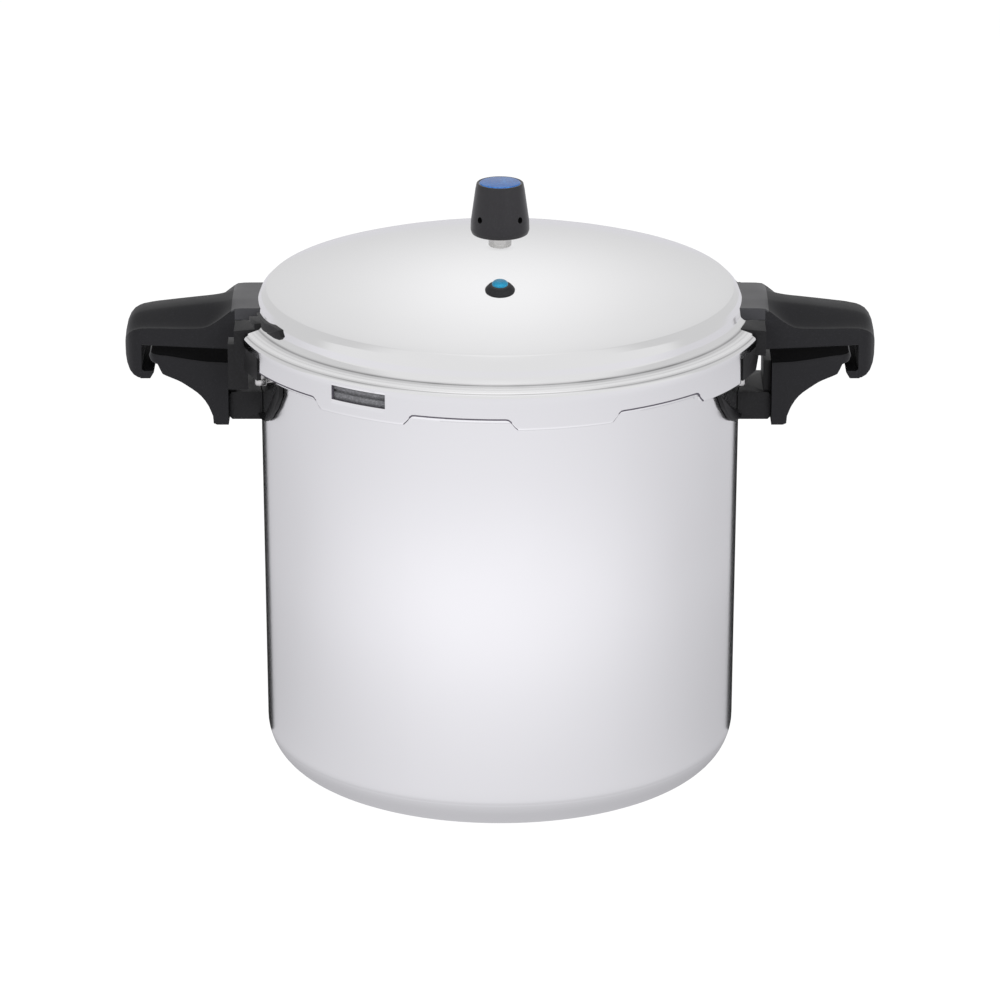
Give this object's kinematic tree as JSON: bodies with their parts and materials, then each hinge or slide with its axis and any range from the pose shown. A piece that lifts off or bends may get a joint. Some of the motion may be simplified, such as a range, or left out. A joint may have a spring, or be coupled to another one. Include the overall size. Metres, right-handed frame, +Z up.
{
  "type": "pressure canner",
  "caption": "Polished aluminium pressure canner: tall pot with a twist-lock domed lid, paired side handles, weighted regulator on a vent pipe, pressure indicator and lift-out rack.",
  "frame": {"origin": "centre of the pot's flat base, on the surface it stands on", "axes": "+Z up along the pot's axis, +X towards the right-hand handles, +Y to the back; the pressure indicator is on the front, -Y, side"},
  "size_m": [0.5, 0.3532, 0.4042],
  "materials": {
    "aluminium": "polished, near mirror",
    "phenolic": "moulded phenolic, fine matt texture",
    "enamelled_steel": "black, slightly rough enamel on steel brackets",
    "steel": "turned stainless steel",
    "rubber": "soft black rubber",
    "blue_cap": "semi-gloss moulded plastic",
    "blue_nylon": "glossy moulded nylon"
  },
  "bodies": {
    "pot": {"pot_body": "aluminium", "pot_saddle_left": "enamelled_steel", "pot_handle_left": "phenolic", "pot_handle_screw_left": "steel", "pot_saddle_rivet_left_1": "steel", "pot_saddle_rivet_left_2": "steel", "pot_saddle_right": "enamelled_steel", "pot_handle_right": "phenolic", "pot_handle_screw_right": "steel", "pot_saddle_rivet_right_1": "steel", "pot_saddle_rivet_right_2": "steel"},
    "rack": {"canning_rack": "aluminium"},
    "seal": {"sealing_gasket": "rubber"},
    "lid": {"lid_shell": "aluminium", "lid_saddle_left": "enamelled_steel", "lid_handle_left": "phenolic", "lid_handle_screw_left": "steel", "lid_handle_bolt_left": "steel", "lid_saddle_rivet_left": "steel", "lid_saddle_right": "enamelled_steel", "lid_handle_right": "phenolic", "lid_handle_screw_right": "steel", "lid_handle_bolt_right": "steel", "lid_saddle_rivet_right": "steel", "vent_pipe": "steel", "vent_washer": "rubber", "vent_nut": "steel", "indicator_grommet": "rubber"},
    "needle": {"regulator_needle": "steel"},
    "regulator": {"regulator_weight": "steel", "regulator_cover": "phenolic", "regulator_cap": "blue_cap"},
    "indicator": {"indicator_pin": "blue_nylon", "indicator_clip": "steel"}
  },
  "joints": [
    {"name": "rack_lift", "type": "slide", "parent": "pot", "child": "rack", "axis": [0, 0, 1], "range_m": [0, 0.31]},
    {"name": "lid_lift", "type": "slide", "parent": "pot", "child": "seal", "axis": [0, 0, 1], "range_m": [0, 0.2]},
    {"name": "lid_turn", "type": "hinge", "parent": "seal", "child": "lid", "pos_m": [0, 0, 0.3], "axis": [0, 0, 1], "range_deg": [0, 22.5]},
    {"name": "regulator_lift", "type": "slide", "parent": "lid", "child": "needle", "axis": [0, 0, 1], "range_m": [0, 0.03]},
    {"name": "regulator_spin", "type": "hinge", "parent": "needle", "child": "regulator", "pos_m": [0, 0, 0.39], "axis": [0, 0, 1], "continuous": true},
    {"name": "indicator_rise", "type": "slide", "parent": "lid", "child": "indicator", "axis": [0, -0.1745, 0.9847], "range_m": [0, 0.004]}
  ]
}
